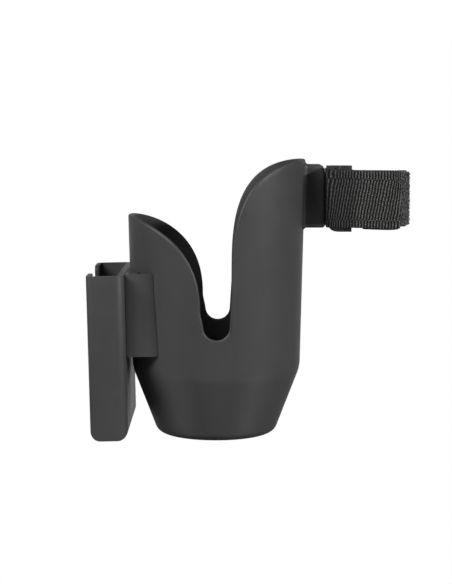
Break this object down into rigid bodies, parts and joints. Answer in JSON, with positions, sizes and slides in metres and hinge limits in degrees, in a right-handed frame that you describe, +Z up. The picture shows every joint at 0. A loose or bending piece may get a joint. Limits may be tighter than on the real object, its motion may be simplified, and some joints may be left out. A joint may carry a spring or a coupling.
{
  "type": "strap-on cup holder with phone pocket",
  "caption": "Tapered cup holder with a tall notched wall for a mug handle, a lift-off side pocket for a phone, and a saddle whose hook-and-loop strap grips a tube or post.",
  "frame": {"origin": "centre of the cup's flat base, on its underside", "axes": "+Z up along the cup's axis, +X from the cup towards the strap, so the phone pocket is on the -X side, and +Y away from the side that the strap's tail is on"},
  "size_m": [0.1738, 0.0936, 0.1507],
  "materials": {
    "charcoal_plastic": "fine moulded grain, charcoal",
    "black_plastic": "moulded, black",
    "screw_steel": "zinc plated",
    "pad_rubber": "soft, matt",
    "black_webbing": "ribbed polyester webbing",
    "pile_fabric": "looped pile",
    "hook_fabric": "hook tape"
  },
  "bodies": {
    "strap_mount": {"strap_bracket": "black_plastic", "saddle_pad": "pad_rubber", "strap_webbing": "black_webbing", "pile_tape": "pile_fabric"},
    "cup": {"cup_body": "charcoal_plastic", "phone_rail_bracket": "charcoal_plastic", "bracket_screw_1": "screw_steel", "bracket_screw_2": "screw_steel", "bracket_screw_3": "screw_steel", "bracket_screw_4": "screw_steel"},
    "pocket": {"phone_pocket": "charcoal_plastic"},
    "tail": {"strap_tail": "black_webbing", "hook_tape": "hook_fabric"}
  },
  "joints": [
    {"name": "cup_lift", "type": "slide", "parent": "strap_mount", "child": "cup", "axis": [0, 0, 1], "range_m": [0, 0.034]},
    {"name": "phone_pocket_lift", "type": "slide", "parent": "cup", "child": "pocket", "axis": [-0.0209, 0, 0.9998], "range_m": [0, 0.045]},
    {"name": "strap_tail_peel", "type": "hinge", "parent": "strap_mount", "child": "tail", "pos_m": [0.07515, -0.0196, 0.1295], "axis": [0, 0, -1], "range_deg": [0, 150]}
  ]
}
